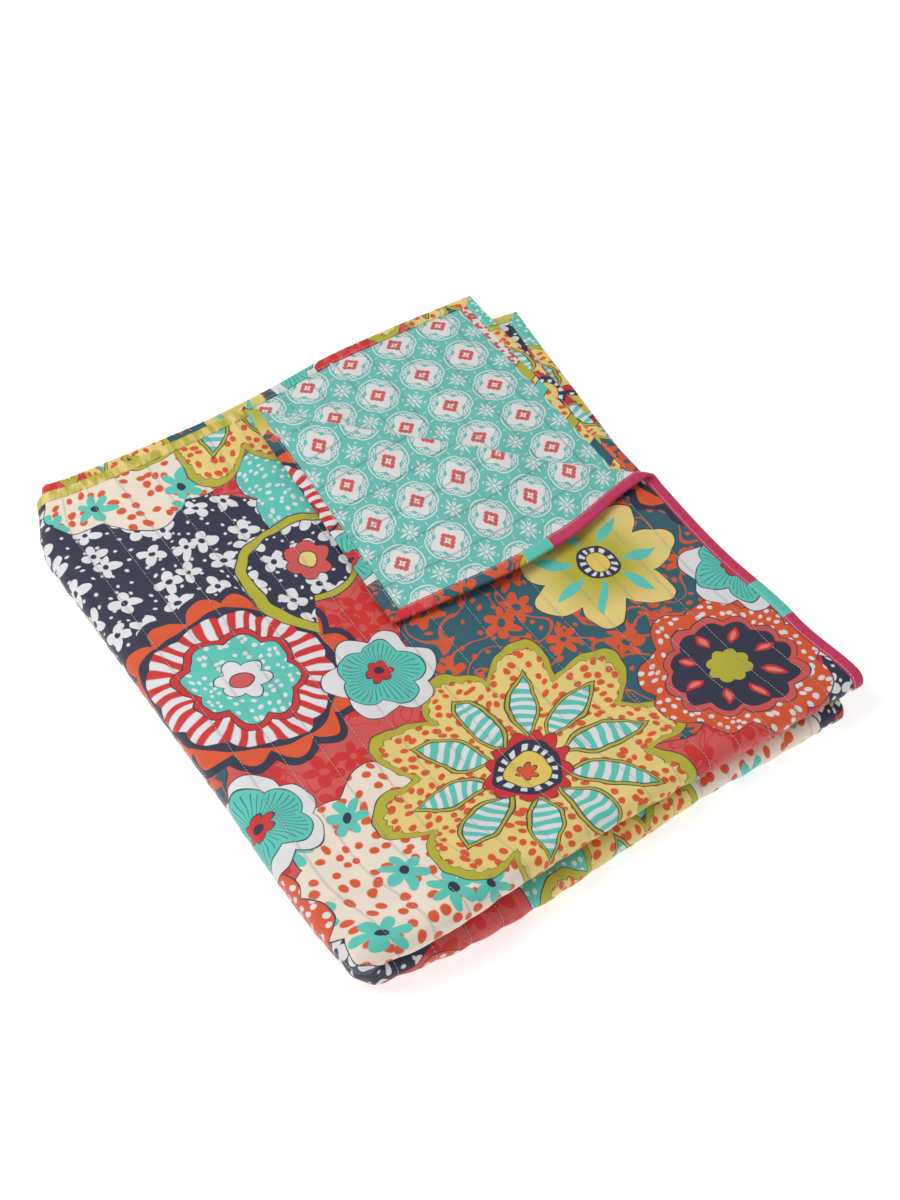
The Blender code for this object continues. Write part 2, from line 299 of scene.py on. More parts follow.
def stack_height(u, v):
    """The height of the whole stack over points of its plan."""
    spine = read_rows(HEIGHTS, v, AT_SPINE)
    shoulder = read_rows(HEIGHTS, v, AT_SHOULDER)
    middle = read_rows(HEIGHTS, v, AT_MIDDLE)
    side = read_rows(HEIGHTS, v, AT_SIDE)
    level_from = read_rows(SPINE_LINE, v, 1) + spine / 2.0
    height = mix(spine, shoulder, ease((u - level_from) / (SHOULDER_U - level_from)))
    height = height + (middle - shoulder) * ease((u - SHOULDER_U) / (MIDDLE_U - SHOULDER_U))
    height = height + (side - middle) * ease((u - MIDDLE_U) / (SIDE_U - MIDDLE_U))
    return height + ripple(u, v)


def near_roll(s):
    """The radius, at the quilt's middle surface, of the roll that joins the two layers of a pair."""
    across = np.abs(s)
    room = mix(PAIR_GAP_SPINE, PAIR_GAP_SIDE, ease((across - SPINE_REACH) / PAIR_GAP_FADE))
    return (stack_height(across, np.zeros_like(across)) - 4.0 * PUFF - room) / 4.0


def edge_shift(s, r):
    """How far the rolls' and the layers' unevenness moves points in plan."""
    upper = ease(s / SHIFT_BLEND + 0.5)
    outer = ease(r / SHIFT_BLEND + 0.5)
    across = (np.abs(s) / HALF_WIDTH) ** 2
    along = (np.abs(r) / HALF_LENGTH) ** 2
    shift_u = 0.0
    shift_v = 0.0
    for is_upper, is_outer, side_near, side_far, end_spine, end_side in EDGE_SHIFTS:
        share = (upper if is_upper else 1.0 - upper) * (outer if is_outer else 1.0 - outer)
        shift_u = shift_u + share * across * mix(side_near, side_far, along)
        shift_v = shift_v + share * along * mix(end_spine, end_side, across)
    bulge = BULGE * np.exp(-(((np.abs(r) - BULGE_MIDDLE) / BULGE_REACH) ** 2))
    shift_u = shift_u + upper * across * bulge
    for table, share in ((NEAR_LINE, 1.0), (NEAR_RECESS, 1.0 - ease(np.abs(r) / RECESS_FADE))):
        lower_roll = read_rows(table, np.abs(s), LOWER_ROLL)
        shift_v = shift_v + share * mix(lower_roll, read_rows(table, np.abs(s), UPPER_ROLL), upper)
    return shift_u, shift_v


def folded_points(s, r):
    """Points of the quilt's middle surface in the stack, before the corner is turned back."""
    roll = near_roll(s)
    quarter = roll * math.pi / 2.0
    past = np.maximum(np.abs(r) - quarter, 0.0)
    on_roll = np.abs(r) < quarter
    turn = np.where(on_roll, r / roll, 0.0)
    v = np.where(on_roll, roll * (1.0 - np.cos(turn)), roll + past)
    half = np.where(on_roll, roll, mix(roll, LAYER_HALF_GAP, ease(past / ROLL_FADE)))
    offset = np.where(on_roll, roll * np.sin(turn), np.copysign(half, r))
    bend = read_rows(HEIGHTS, v, AT_SPINE) / 2.0
    centre = read_rows(SPINE_LINE, v, 1) + bend
    radius = bend - half - PUFF
    on_spine = np.abs(s) < radius * math.pi / 2.0
    angle = np.where(on_spine, s / radius, 0.0)
    flat_u = centre + np.abs(s) - radius * math.pi / 2.0
    u = np.where(on_spine, centre - (radius + offset) * np.cos(angle), flat_u)
    flat_z = np.where(s > 0.0, stack_height(flat_u, v) - PUFF - half + offset, PUFF + half - offset)
    z = np.where(on_spine, bend + (radius + offset) * np.sin(angle), flat_z)
    shift_u, shift_v = edge_shift(s, r)
    tuck = ease((v + shift_v - TUCK_FROM) / TUCK_RUN) * (1.0 - ease(np.abs(s) / TUCK_WIDTH))
    u = u + shift_u + TUCK * tuck
    return np.stack((u, v + shift_v, z), axis=-1)


def flap_line():
    """The turned corner's fold: its start, and its direction to the corner on the quilt and in plan."""
    ends = folded_points(np.array((FLAP_END_S, HALF_WIDTH)), np.array((HALF_LENGTH, FLAP_SIDE_R)))
    out_flat = np.array((HALF_LENGTH - FLAP_SIDE_R, HALF_WIDTH - FLAP_END_S))
    out_plan = np.array((ends[0, 1] - ends[1, 1], ends[1, 0] - ends[0, 0]))
    return (
        np.array((FLAP_END_S, HALF_LENGTH)),
        out_flat / np.linalg.norm(out_flat),
        out_plan / np.linalg.norm(out_plan),
    )


FLAP_START, FLAP_OUT_FLAT, FLAP_OUT_PLAN = flap_line()


def past_flap(s, r):
    """How far points lie past the turned corner's fold, on the quilt."""
    return (s - FLAP_START[0]) * FLAP_OUT_FLAT[0] + (r - FLAP_START[1]) * FLAP_OUT_FLAT[1]


def flap_slide(s, r):
    """How far the turned corner and the cloth near its fold slide towards the near rolls."""
    run = math.hypot(FLAP_END_S - HALF_WIDTH, FLAP_SIDE_R - HALF_LENGTH)
    along = ((s - FLAP_START[0]) * FLAP_OUT_FLAT[1] - (r - FLAP_START[1]) * FLAP_OUT_FLAT[0]) / run
    ends = ease(along / SLIDE_ENDS) * ease((1.0 - along) / SLIDE_ENDS)
    return FLAP_SLIDE * ends * ease(past_flap(s, r) / SLIDE_FADE / 2.0 + 0.5)


def surface_points(s, r):
    """Points of the quilt's middle surface in the finished stack."""
    past = np.maximum(past_flap(s, r), 0.0)
    slide = flap_slide(s, r)
    turn = FLAP_ROLL * math.pi
    foot = folded_points(s - FLAP_OUT_FLAT[0] * past, r - FLAP_OUT_FLAT[1] * past)
    turning = past < turn
    reach = np.where(turning, FLAP_ROLL * np.sin(past / FLAP_ROLL), (turn - past) * FLAP_EASE)
    settled = mix(2.0 * FLAP_ROLL, FLAP_LIE, ease(-reach / FLAP_SETTLE))
    lift = np.where(turning, FLAP_ROLL * (1.0 - np.cos(past / FLAP_ROLL)), settled)
    turned = past > 0.0
    u = foot[..., 0] + np.where(turned, FLAP_OUT_PLAN[0] * reach, 0.0)
    v = foot[..., 1] + np.where(turned, FLAP_OUT_PLAN[1] * reach, 0.0) - slide
    rise = stack_height(u, v) - stack_height(u, v + slide)
    along_edge = np.clip((r - FLAP_SIDE_R) / (HALF_LENGTH - FLAP_SIDE_R), 0.0, 1.0)
    near_edge = ease(1.0 - (HALF_WIDTH - s) / BOW_DEPTH) * ease((past - turn) / BOW_DEPTH)
    v = v - FLAP_BOW * near_edge * np.sin(math.pi * along_edge)
    raised = FLAP_LIFT * near_edge * np.sin(math.pi * along_edge**FLAP_LIFT_LEAN)
    z = np.where(turned, stack_height(u, v) - PUFF + lift + raised, foot[..., 2] + rise)
    return np.stack((u, v, z), axis=-1)


def laid_points(s, r, w):
    """Points of the quilt, w above its middle surface on the printed side, at their places in the frame."""
    across = surface_points(s + STEP, r) - surface_points(s - STEP, r)
    along = surface_points(s, r + STEP) - surface_points(s, r - STEP)
    normal = np.cross(across, along)
    normal /= np.linalg.norm(normal, axis=-1, keepdims=True)
    return surface_points(s, r) + normal * w[..., None] + ORIGIN_SHIFT


def half_thickness(s, r):
    """Half of the quilt's thickness: full between seams, drawn in at a seam and thin under the binding."""
    quilted = np.abs(s) < (SEAMS + 0.5) * PITCH
    channel = np.where(quilted, mix(STITCH, PUFF, np.abs(np.sin(math.pi * s / PITCH))), PUFF)
    inside = np.minimum(HALF_WIDTH - np.abs(s), HALF_LENGTH - np.abs(r)) - HEM_START
    return mix(HEM, channel, ease(inside / HEM_RISE))


def pressed(s, r):
    """Where the quilt's own weight presses its printed side flat: 1 where it lies on the ground."""
    return ease((-s - PRESSED_FROM_S) / PRESSED_BLEND_S) * ease((r - PRESSED_FROM_R) / PRESSED_BLEND_R)


def puckers(s, r):
    """The small waves that a seam's thread draws in the cloth beside it."""
    seam = np.round(s / PITCH)
    off = s - seam * PITCH
    total = 0.0
    for height, by_r, by_seam in PUCKERS:
        total = total + height * np.sin(by_r * r + by_seam * seam * seam + PUCKER_SLANT * off)
    inside = np.minimum(HALF_WIDTH - np.abs(s), HALF_LENGTH - np.abs(r)) - HEM_START
    total = total * np.exp(-((off / PUCKER_REACH) ** 2)) * ease(inside / HEM_RISE)
    for height, by_run, start in HEM_WAVES:
        off_middle = inside / HEM_WAVE_REACH - HEM_WAVE_MIDDLE
        at_hem = np.exp(-(off_middle**2) * HEM_WAVE_SHARPNESS) * (inside > 0.0)
        total = total + height * at_hem * np.sin(by_run * (s + r) + start)
    away = np.hypot(s, r)
    folds = np.sin(GATHER_FOLDS * np.arctan2(r, s) + GATHER_TWIST * away)
    gather = GATHER_HEIGHT * folds * np.exp(-((away / GATHER_REACH) ** 2)) * ease(away / GATHER_REACH * 2.0)
    return total + gather


def face_surface(s, r):
    """How far the printed side's surface lies from the quilt's middle surface."""
    inside = np.minimum(HALF_WIDTH - np.abs(s), HALF_LENGTH - np.abs(r)) - HEM_START
    lying = pressed(s, r)
    free = half_thickness(s, r) + puckers(s, r)
    return mix(free, mix(HEM, PUFF, ease(inside / HEM_RISE)), lying)


def reverse_surface(s, r):
    """As face_surface, for the reverse."""
    return -half_thickness(s, r) - puckers(s, r + PITCH)


def fine_columns():
    """The fine divisions across the quilt: seams and even cells between them."""
    outer = int((SEAMS + 0.5) * CHANNEL_CELLS)
    places = [index * PITCH / CHANNEL_CELLS for index in range(-outer, outer + 1)]
    edge = HALF_WIDTH - BINDING_CLOTH - BINDING_ROOM
    return [-edge, HEM_START - HALF_WIDTH] + places + [HALF_WIDTH - HEM_START, edge]


def fine_rows():
    """The fine divisions along the quilt, closer in the near rolls."""
    end = HALF_LENGTH - HEM_START
    rolled = np.arange(0.0, ROLL_ROWS_REACH, ROLL_ROW_PITCH)
    straight = np.linspace(ROLL_ROWS_REACH, end, int((end - ROLL_ROWS_REACH) / ROW_PITCH))
    half = np.concatenate((rolled, straight, [HALF_LENGTH - BINDING_CLOTH - BINDING_ROOM]))
    return list(-half[:0:-1]) + list(half)


def core_columns():
    """The coarse divisions across the quilt, for the hidden side of each cloth."""
    places = []
    outermost = 4 * SEAMS + 2
    for index in range(-outermost, outermost + 1):
        s = index * PITCH / 4.0
        if index % 2 == 0 or abs(s) < SPINE_REACH:
            places.append(s)
    edge = HALF_WIDTH - BINDING_CLOTH - BINDING_ROOM
    return [-edge, HEM_START - HALF_WIDTH] + places + [HALF_WIDTH - HEM_START, edge]


def core_rows():
    """The coarse divisions along the quilt, for the hidden side of each cloth."""
    straight = np.linspace(ROLL_ROWS_REACH, HALF_LENGTH - HEM_START, CORE_ROW_COUNT)
    half = list(CORE_ROLL_ROWS) + list(straight) + [HALF_LENGTH - BINDING_CLOTH - BINDING_ROOM]
    return [-r for r in reversed(half[1:])] + half


def cut_flap(net, cuts):
    """Divides a flat net along the turned corner's fold."""
    normal = Vector((FLAP_OUT_FLAT[0], FLAP_OUT_FLAT[1], 0.0))
    start = Vector((FLAP_START[0], FLAP_START[1], 0.0))
    for index in range(cuts + 1):
        place = start + normal * (FLAP_ROLL * math.pi * index / cuts)
        parts = net.verts[:] + net.edges[:] + net.faces[:]
        bmesh.ops.bisect_plane(net, geom=parts, dist=CUT_SNAP, plane_co=place, plane_no=normal)


def flat_net(across, along, cuts):
    """A flat net with the given divisions: its points and its faces."""
    net = bmesh.new()
    bmesh.ops.create_grid(net, x_segments=len(across) - 1, y_segments=len(along) - 1, size=1.0)
    for vert in net.verts:
        column = round((vert.co.x + 1.0) / 2.0 * (len(across) - 1))
        row = round((vert.co.y + 1.0) / 2.0 * (len(along) - 1))
        vert.co = (across[column], along[row], 0.0)
    cut_flap(net, cuts)
    bmesh.ops.triangulate(net, faces=[face for face in net.faces if len(face.verts) > 4])
    net.verts.index_update()
    points = np.array([vert.co[:2] for vert in net.verts])
    faces = [[vert.index for vert in face.verts] for face in net.faces]
    net.free()
    return points, faces


def rim_order(points):
    """The points on a flat net's rim in order, and their places round it from 0 to 1."""
    scaled = points / np.abs(points).max(axis=0)
    on_rim = np.flatnonzero(np.abs(scaled).max(axis=1) > 1.0 - 1e-6)
    turn = np.arctan2(scaled[on_rim, 1], scaled[on_rim, 0]) / (2.0 * math.pi)
    order = np.argsort(turn)
    return on_rim[order], turn[order]


def join_rims(fine, fine_at, core, core_at):
    """Triangles between two rims that have different divisions."""
    triangles = []
    fine_index = 0
    core_index = 0
    while fine_index < len(fine) or core_index < len(core):
        here = fine[fine_index % len(fine)]
        there = core[core_index % len(core)]
        fine_next = fine_at[fine_index + 1] if fine_index + 1 < len(fine) else 2.0
        core_next = core_at[core_index + 1] if core_index + 1 < len(core) else 2.0
        step_fine = fine_next <= core_next and fine_index < len(fine)
        if step_fine or core_index >= len(core):
            fine_index += 1
            triangles.append([here, there, fine[fine_index % len(fine)]])
        else:
            core_index += 1
            triangles.append([here, there, core[core_index % len(core)]])
    return triangles


def make_piece(name, points, faces, flat, cloth, node):
    """Makes one object of points and faces, with the flat places as its map and the given material, hangs
    it on the root body and hides the model's part that it stands for.
    """
    data = bpy.data.meshes.new(name)
    data.from_pydata(points.tolist(), [], faces)
    corners = np.empty(len(data.loops), dtype=np.int32)
    data.loops.foreach_get("vertex_index", corners)
    layer = data.uv_layers.new(name="cloth")
    layer.data.foreach_set("uv", flat[corners].astype(np.float32).ravel())
    data.shade_smooth()
    data.set_sharp_from_angle(angle=SHARP_ANGLE)
    data.materials.append(cloth)
    item = bpy.data.objects.new(name, data)
    bpy.context.scene.collection.objects.link(item)
    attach(item, "root")
    if node:
        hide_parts(node)
    return item


def make_cloth(name, surface, core_w, flip, cloth, node):
    """One of the quilt's two cloths, with its half of the wadding: a fine outside and a coarse inside."""
    fine, fine_faces = flat_net(fine_columns(), fine_rows(), FLAP_CUTS)
    core, core_faces = flat_net(core_columns(), core_rows(), CORE_FLAP_CUTS)
    fine_rim, fine_at = rim_order(fine)
    core_rim, core_at = rim_order(core)
    rim_faces = join_rims(list(fine_rim), fine_at, list(core_rim + len(fine)), core_at)
    outside = laid_points(fine[:, 0], fine[:, 1], surface(fine[:, 0], fine[:, 1]))
    inside = laid_points(core[:, 0], core[:, 1], np.full(len(core), core_w))
    inner_faces = [[index + len(fine) for index in reversed(face)] for face in core_faces]
    faces = fine_faces + inner_faces + rim_faces
    if flip:
        faces = [face[::-1] for face in faces]
    return make_piece(name, np.vstack((outside, inside)), faces, np.vstack((fine, core)), cloth, node)


def binding_profile():
    """The binding's section round the hem: distance in from the edge, then w, outside and then inside."""
    outer = HEM + GAP + BINDING_CLOTH
    profile = [(BINDING_WIDTH, outer - BINDING_CLOTH * 0.6), (BINDING_WIDTH - 0.0008, outer)]
    profile += [(BINDING_WIDTH - 0.0030, outer + 0.0001), (BINDING_WIDTH - 0.0065, outer + 0.0004)]
    for index in range(7):
        angle = math.pi / 2.0 - math.pi * index / 6.0
        profile.append((BINDING_EDGE_ROUND * (1.0 - math.cos(angle)), outer * math.sin(angle)))
    profile += [(BINDING_WIDTH - 0.0065, -outer - 0.0004), (BINDING_WIDTH - 0.0030, -outer - 0.0001)]
    profile += [(BINDING_WIDTH - 0.0008, -outer), (BINDING_WIDTH, -outer + BINDING_CLOTH * 0.6)]
    inner = HEM + GAP
    profile += [(BINDING_WIDTH, -inner), (BINDING_CLOTH, -inner)]
    profile += [(BINDING_CLOTH, inner), (BINDING_WIDTH, inner)]
    return np.array(profile)


def tape_wrinkle(along, inward, size):
    """How far a binding's surface stands off its even shape."""
    total = 0.0
    for height, by_run, start in BINDING_WRINKLES:
        total = total + size * height * np.sin(by_run * along + start + BINDING_WRINKLE_SLANT * inward)
    return total * ease(inward / BINDING_EDGE_ROUND)


def make_binding(name, side, sign, cloth, node):
    """A strip folded over one edge of the quilt, mitred at both ends."""
    half_run = HALF_LENGTH if side else HALF_WIDTH
    size = SIDE_WRINKLE if side else END_WRINKLE
    section = binding_profile()
    count = int(2.0 * half_run / BINDING_RING_PITCH)
    along = np.linspace(-half_run, half_run, count)[:, None]
    inward = np.repeat(section[None, :, 0], count, axis=0)
    w = np.repeat(section[None, :, 1], count, axis=0)
    end = half_run - inward - GAP / 2.0
    along = np.clip(along, -end, end)
    outside = np.arange(len(section)) < len(section) - 4
    w = w + tape_wrinkle(along, inward, size) * outside
    edge = (HALF_WIDTH if side else HALF_LENGTH) - inward
    s = sign * edge if side else along
    r = along if side else sign * edge
    points = laid_points(s.ravel(), r.ravel(), w.ravel())
    ring = len(section)
    faces = []
    for row in range(count - 1):
        for index in range(ring):
            after = (index + 1) % ring
            low = row * ring
            faces.append([low + index, low + after, low + ring + after, low + ring + index])
    faces.append(list(range(ring))[::-1])
    faces.append([(count - 1) * ring + index for index in range(ring)])
    if (sign < 0.0) == side:
        faces = [face[::-1] for face in faces]
    flat = np.stack((s.ravel(), r.ravel()), axis=-1)
    return make_piece(name, points, faces, flat, cloth, node)


def sew(name, starts, along_r, level, sign, cloth):
    """Stitches from their starting places on the quilt, along r or along s, on one side of it."""
    length = STITCH_LENGTH
    wide = STITCH_HALF_WIDTH
    shape = np.array(
        (
            (0.0, 0.0, -0.3),
            (-wide, 0.15 * length, 0.0),
            (wide, 0.15 * length, 0.0),
            (0.0, 0.15 * length, 1.0),
            (-wide, 0.85 * length, 0.0),
            (wide, 0.85 * length, 0.0),
            (0.0, 0.85 * length, 1.0),
            (0.0, length, -0.3),
        )
    )
    first_tip = ((0, 1, 3), (0, 3, 2), (0, 2, 1))
    body = ((1, 4, 6, 3), (3, 6, 5, 2), (2, 5, 4, 1))
    last_tip = ((4, 7, 6), (6, 7, 5), (5, 7, 4))
    run = shape[None, :, 1]
    side = shape[None, :, 0]
    at_s = starts[:, :1] + np.where(along_r[:, None], side, run)
    at_r = starts[:, 1:] + np.where(along_r[:, None], run, side)
    at_w = level[:, None] + sign * STITCH_RISE * shape[None, :, 2]
    points = laid_points(at_s.ravel(), at_r.ravel(), at_w.ravel())
    faces = []
    for index in range(len(starts)):
        turned = (sign > 0.0) == bool(along_r[index])
        for corners in first_tip + body + last_tip:
            face = [index * len(shape) + corner for corner in corners]
            faces.append(face[::-1] if turned else face)
    flat = np.stack((at_s.ravel(), at_r.ravel()), axis=-1)
    return make_piece(name, points, faces, flat, cloth, "")


def seam_stitches(name, surface, sign, cloth):
    """The running stitches of every seam on one side of the quilt."""
    reach = HALF_LENGTH - HEM_START - STITCH_PITCH
    seams = np.arange(-SEAMS, SEAMS + 1) * PITCH
    s, r = (grid.ravel() for grid in np.meshgrid(seams, np.arange(-reach, reach, STITCH_PITCH)))
    level = surface(s, r + STITCH_LENGTH / 2.0)
    return sew(name, np.stack((s, r), axis=-1), np.full(len(s), True), level, sign, cloth)


def tape_stitches(name, sign, cloth):
    """The stitches that hold the four bindings, on one side of the quilt."""
    inset = BINDING_WIDTH - TAPE_STITCH_INSET
    starts = []
    along_r = []
    level = []
    outer = HEM + GAP + BINDING_CLOTH + 0.0002
    for side, half_run, size in ((True, HALF_LENGTH, SIDE_WRINKLE), (False, HALF_WIDTH, END_WRINKLE)):
        run = np.arange(-half_run + BINDING_WIDTH, half_run - BINDING_WIDTH - STITCH_LENGTH, STITCH_PITCH)
        for edge in (-1.0, 1.0):
            across = np.full(len(run), edge * ((HALF_WIDTH if side else HALF_LENGTH) - inset))
            starts.append(np.stack((across, run) if side else (run, across), axis=-1))
            along_r.append(np.full(len(run), side))
            level.append(sign * outer + tape_wrinkle(run + STITCH_LENGTH / 2.0, inset, size))
    return sew(name, np.vstack(starts), np.concatenate(along_r), np.concatenate(level), sign, cloth)


class Wire:
    """A number in a material's nodes. Sums on it add Math nodes."""

    def __init__(self, cloth, socket):
        self.cloth = cloth
        self.socket = socket

    def __add__(self, other):
        return self.cloth.math("ADD", self, other)

    def __radd__(self, other):
        return self.cloth.math("ADD", other, self)

    def __sub__(self, other):
        return self.cloth.math("SUBTRACT", self, other)

    def __rsub__(self, other):
        return self.cloth.math("SUBTRACT", other, self)

    def __mul__(self, other):
        return self.cloth.math("MULTIPLY", self, other)

    def __rmul__(self, other):
        return self.cloth.math("MULTIPLY", other, self)

    def __truediv__(self, other):
        return self.cloth.math("DIVIDE", self, other)


class Cloth:
    """One material: its shader, and the method that adds its nodes."""

    def __init__(self, name, roughness, sheen):
        self.material = bpy.data.materials.new(name)
        self.material.use_nodes = True
        self.tree = self.material.node_tree
        self.shader = self.tree.nodes["Principled BSDF"]
        self.shader.inputs["Roughness"].default_value = roughness
        self.shader.inputs["Sheen Weight"].default_value = sheen
        self.shader.inputs["Sheen Roughness"].default_value = 0.5

    def node(self, kind, settings, inputs, *outputs):
        """Adds a node, and gives those of its outputs that are asked for, or else the first."""
        made = self.tree.nodes.new(kind)
        for key, value in settings.items():
            setattr(made, key, value)
        for key, value in inputs.items():
            self.feed(made.inputs[key], value)
        wires = [Wire(self, made.outputs[key]) for key in outputs or (0,)]
        return wires if len(wires) > 1 else wires[0]

    def feed(self, socket, value):
        if isinstance(value, Wire):
            self.tree.links.new(value.socket, socket)
        else:
            socket.default_value = value

    def math(self, operation, *values, clamp=False):
        return self.node(
            "ShaderNodeMath", {"operation": operation, "use_clamp": clamp}, dict(enumerate(values))
        )

    def vector(self, operation, *values, output=0):
        return self.node("ShaderNodeVectorMath", {"operation": operation}, dict(enumerate(values)), output)

    def paint(self, under, over, mask):
        """One colour over another, where the mask is 1."""
        return self.node("ShaderNodeMix", {"data_type": "RGBA"}, {0: mask, 6: under, 7: over}, 2)

    def parts(self, place):
        """A place's first two coordinates."""
        return self.node("ShaderNodeSeparateXYZ", {}, {0: place}, 0, 1)

    def cloth_place(self):
        """The place on the flat cloth, in metres."""
        return self.node("ShaderNodeUVMap", {"uv_map": "cloth"}, {})

    def inked(self, distance, soft=0.0006):
        """1 inside a shape and 0 outside it, from the distance to its outline."""
        return self.math("MULTIPLY_ADD", distance, -1.0 / soft, 0.5, clamp=True)


def colour(red, green, blue):
    """A colour given as its values from 0 to 255 on a screen."""
    linear = []
    for value in (red, green, blue):
        share = value / 255.0
        linear.append(share / 12.92 if share <= 0.04045 else ((share + 0.055) / 1.055) ** 2.4)
    return (*linear, 1.0)


NAVY = colour(38, 40, 68)
WHITE = colour(234, 233, 235)
CREAM = colour(242, 216, 130)
YELLOW = colour(238, 208, 92)
LIME = colour(190, 182, 46)
ORANGE = colour(228, 86, 34)
RED = colour(214, 38, 36)
CORAL = colour(218, 84, 80)
ROSE = colour(240, 128, 116)
TURQUOISE = colour(92, 206, 190)
TEAL = colour(38, 94, 108)
MAGENTA = colour(206, 48, 106)
REVERSE_TEAL = colour(106, 198, 186)
REVERSE_SHADE = colour(70, 170, 150)
REVERSE_RED = colour(214, 92, 100)
PALE_CREAM = colour(246, 232, 212)
REVERSE_THREAD = colour(122, 204, 188)

# The reverse's lattice: where it starts, its cells across and along the quilt in one metre, and their parts
LATTICE_START = (0.0085, -0.0105, 0.0)
LATTICE_SCALE = (1.0 / 0.0655, 1.0 / 0.0605, 1.0)
CELL_MIDDLE = (0.5, 0.5, 0.0)

# The rings between a medallion's outline and its star, in shares of a cell: two places, radius, half line
CURLS = (
    (0.285, 0.165, 0.036, 0.012),
    (0.335, 0.100, 0.024, 0.010),
    (0.235, 0.230, 0.020, 0.014),
)

# The angles between which the leafy cross repeats
QUARTER = (math.pi / 4.0, -math.pi / 4.0)

# How wide a strip of the print is turned over onto the reverse at the upper inner layer's bound side
TURNED_PRINT = 0.026

# The bands drawn on that strip: middle along the quilt, half width and colour
TURNED_BANDS = (
    (-0.630, 0.016, LIME),
    (-0.596, 0.010, TURQUOISE),
    (-0.530, 0.009, LIME),
    (-0.470, 0.020, TEAL),
)

# The print's repeat, across and along the quilt
REPEAT = (0.64, 0.72)
INK_LINE = 0.0014

# The cloths' finish: how closely the shade in a seam's valley keeps to the seam, the scales of the uneven
# colour, of the puckers and of the soft waves, and the weave's turns and height
SEAM_SHARPNESS = 130.0
UNEVEN_SCALE = 30.0
PUCKER_STRETCH = (0.35, 1.0, 1.0)
PUCKER_SCALE = 110.0
SOFT_SCALE = 45.0
WEAVE_TURNS = 9000.0
WEAVE_HEIGHT = 0.00003


class Motif:
    """One motif of the print: places round its centre, in each repeat."""

    def __init__(self, cloth, drawn, centre, turn=0.0):
        self.cloth = cloth
        reach = (REPEAT[0] / 2.0, REPEAT[1] / 2.0, 1.0)
        back = (-reach[0], -reach[1], -1.0)
        local = cloth.vector("WRAP", cloth.vector("SUBTRACT", drawn, (*centre, 0.0)), reach, back)
        across, along = cloth.parts(local)
        self.distance = cloth.vector("LENGTH", local, output=1)
        self.angle = cloth.math("ARCTAN2", along, across) + turn

    def scallops(self, radius, count, depth):
        """Distance to an outline of rounded petals."""
        bulge = self.cloth.math("ABSOLUTE", self.cloth.math("COSINE", self.angle * (count / 2.0)))
        outline = self.cloth.math("MULTIPLY_ADD", bulge, radius * depth, radius * (1.0 - depth))
        return self.distance - outline

    def frilled(self, distance, count, height):
        """A distance whose outline also has small frills."""
        frill = self.cloth.math("ABSOLUTE", self.cloth.math("SINE", self.angle * (count / 2.0)))
        return distance - frill * height

    def circle(self, radius):
        return self.distance - radius

    def rays(self, count, share):
        """Stripes round the centre: negative on a share of each."""
        return share - self.cloth.math("COSINE", self.angle * count)

    def leaves(self, count, start, length, width, turn=0.0):
        """Distance to the outlines of leaves that point away from the centre."""
        step = 2.0 * math.pi / count
        side = self.cloth.math("WRAP", self.angle + turn, step / 2.0, -step / 2.0)
        off = self.cloth.math("ABSOLUTE", side * self.distance)
        out = self.cloth.math("MULTIPLY_ADD", self.distance, 1.0 / length, -start / length, clamp=True)
        past_tip = self.cloth.math("ABSOLUTE", self.distance - (start + length / 2.0)) - length / 2.0
        return self.cloth.math("MAXIMUM", off - self.cloth.math("SINE", out * math.pi) * width, past_tip)

    def comma(self, radius, growth):
        """Distance to a drop with a curled tip."""
        share = self.cloth.math("WRAP", self.angle / (2.0 * math.pi), 1.0, 0.0)
        swell = self.cloth.math("POWER", share, 3.0)
        return self.distance - self.cloth.math("MULTIPLY_ADD", swell, radius * growth, radius)


def fill(cloth, under, over, distance, line=INK_LINE, ink=NAVY):
    """A shape of one colour with an inked outline, over what is there."""
    if line:
        under = cloth.paint(under, ink, cloth.inked(distance - line / 2.0))
    return cloth.paint(under, over, cloth.inked(distance + line / 2.0))


def spots(cloth, place, scale, size, under, over):
    """A ground with uneven spots."""
    inputs = {"Vector": place, "Scale": scale, "Randomness": 0.7}
    near = cloth.node("ShaderNodeTexVoronoi", {"voronoi_dimensions": "2D"}, inputs)
    return cloth.paint(under, over, cloth.inked(near - size, 0.07))


def blossoms(cloth, place, scale, size, petals, under, over, heart):
    """A ground with small scattered blossoms."""
    inputs = {"Vector": place, "Scale": scale, "Randomness": 0.6}
    settings = {"voronoi_dimensions": "2D"}
    middle, chance = cloth.node("ShaderNodeTexVoronoi", settings, inputs, "Position", "Color")
    local = cloth.vector("SUBTRACT", place, middle)
    turn, _ = cloth.parts(chance)
    across, along = cloth.parts(local)
    angle = cloth.math("ARCTAN2", along, across) + turn * 6.28
    away = cloth.vector("LENGTH", local, output=1)
    bulge = cloth.math("ABSOLUTE", cloth.math("COSINE", angle * (petals / 2.0)))
    outline = away - cloth.math("MULTIPLY_ADD", bulge, size * 0.6, size * 0.4)
    under = cloth.paint(under, over, cloth.inked(outline))
    return cloth.paint(under, heart, cloth.inked(away - size * 0.22))


def scrolls(cloth, place, scale, low, high, under, over):
    """A ground with curling bands."""
    turned = cloth.node(
        "ShaderNodeTexNoise",
        {"noise_dimensions": "2D"},
        {"Vector": place, "Scale": scale, "Detail": 0.0, "Distortion": 1.6},
    )
    off = cloth.math("ABSOLUTE", turned - 0.5)
    band = cloth.math("ABSOLUTE", off - (low + high) / 2.0) - (high - low) / 2.0
    return cloth.paint(under, over, cloth.inked(band, 0.012))


